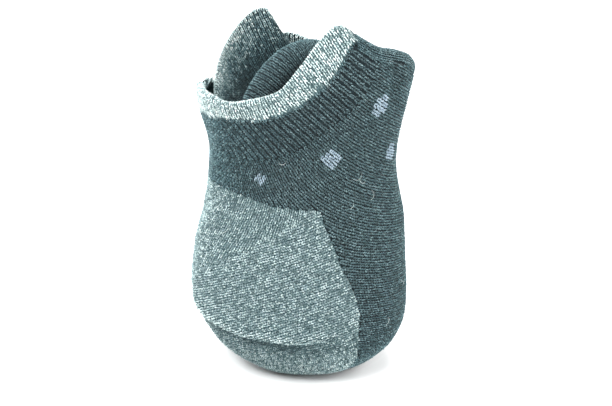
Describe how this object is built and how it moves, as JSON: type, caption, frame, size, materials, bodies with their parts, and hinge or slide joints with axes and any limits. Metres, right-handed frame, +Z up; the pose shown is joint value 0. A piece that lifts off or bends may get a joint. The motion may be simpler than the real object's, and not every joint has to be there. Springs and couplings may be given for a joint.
{
  "type": "rolled pair of socks",
  "caption": "Pair of heathered knit ankle socks rolled into a bundle from the toes, standing on the roll with the ribbed cuffs open at the top.",
  "frame": {"origin": "middle of the bundle's bounding box, at the height of the surface it stands on", "axes": "+Z up along the axis the socks are rolled about, towards the open cuffs; +X to the right, towards the folded foot edge; -Y towards the heel side, the front"},
  "size_m": [0.0688, 0.054, 0.1141],
  "materials": {
    "heather_light": "heathered light grey-teal knit, matt",
    "charcoal_knit": "heathered dark slate knit with small lilac-grey dots, matt",
    "charcoal_rib": "heathered dark slate rib, matt"
  },
  "bodies": {
    "root": {"heel_pocket": "heather_light", "leg": "charcoal_knit", "foot": "charcoal_knit", "cuff_rib_front": "charcoal_rib", "cuff_welt_front": "heather_light", "cuff_rib_back": "charcoal_rib", "cuff_welt_back": "heather_light", "second_cuff_rib": "charcoal_rib", "second_cuff_welt": "heather_light", "second_cuff_fold": "charcoal_rib", "rolled_feet": "charcoal_knit"}
  },
  "joints": []
}
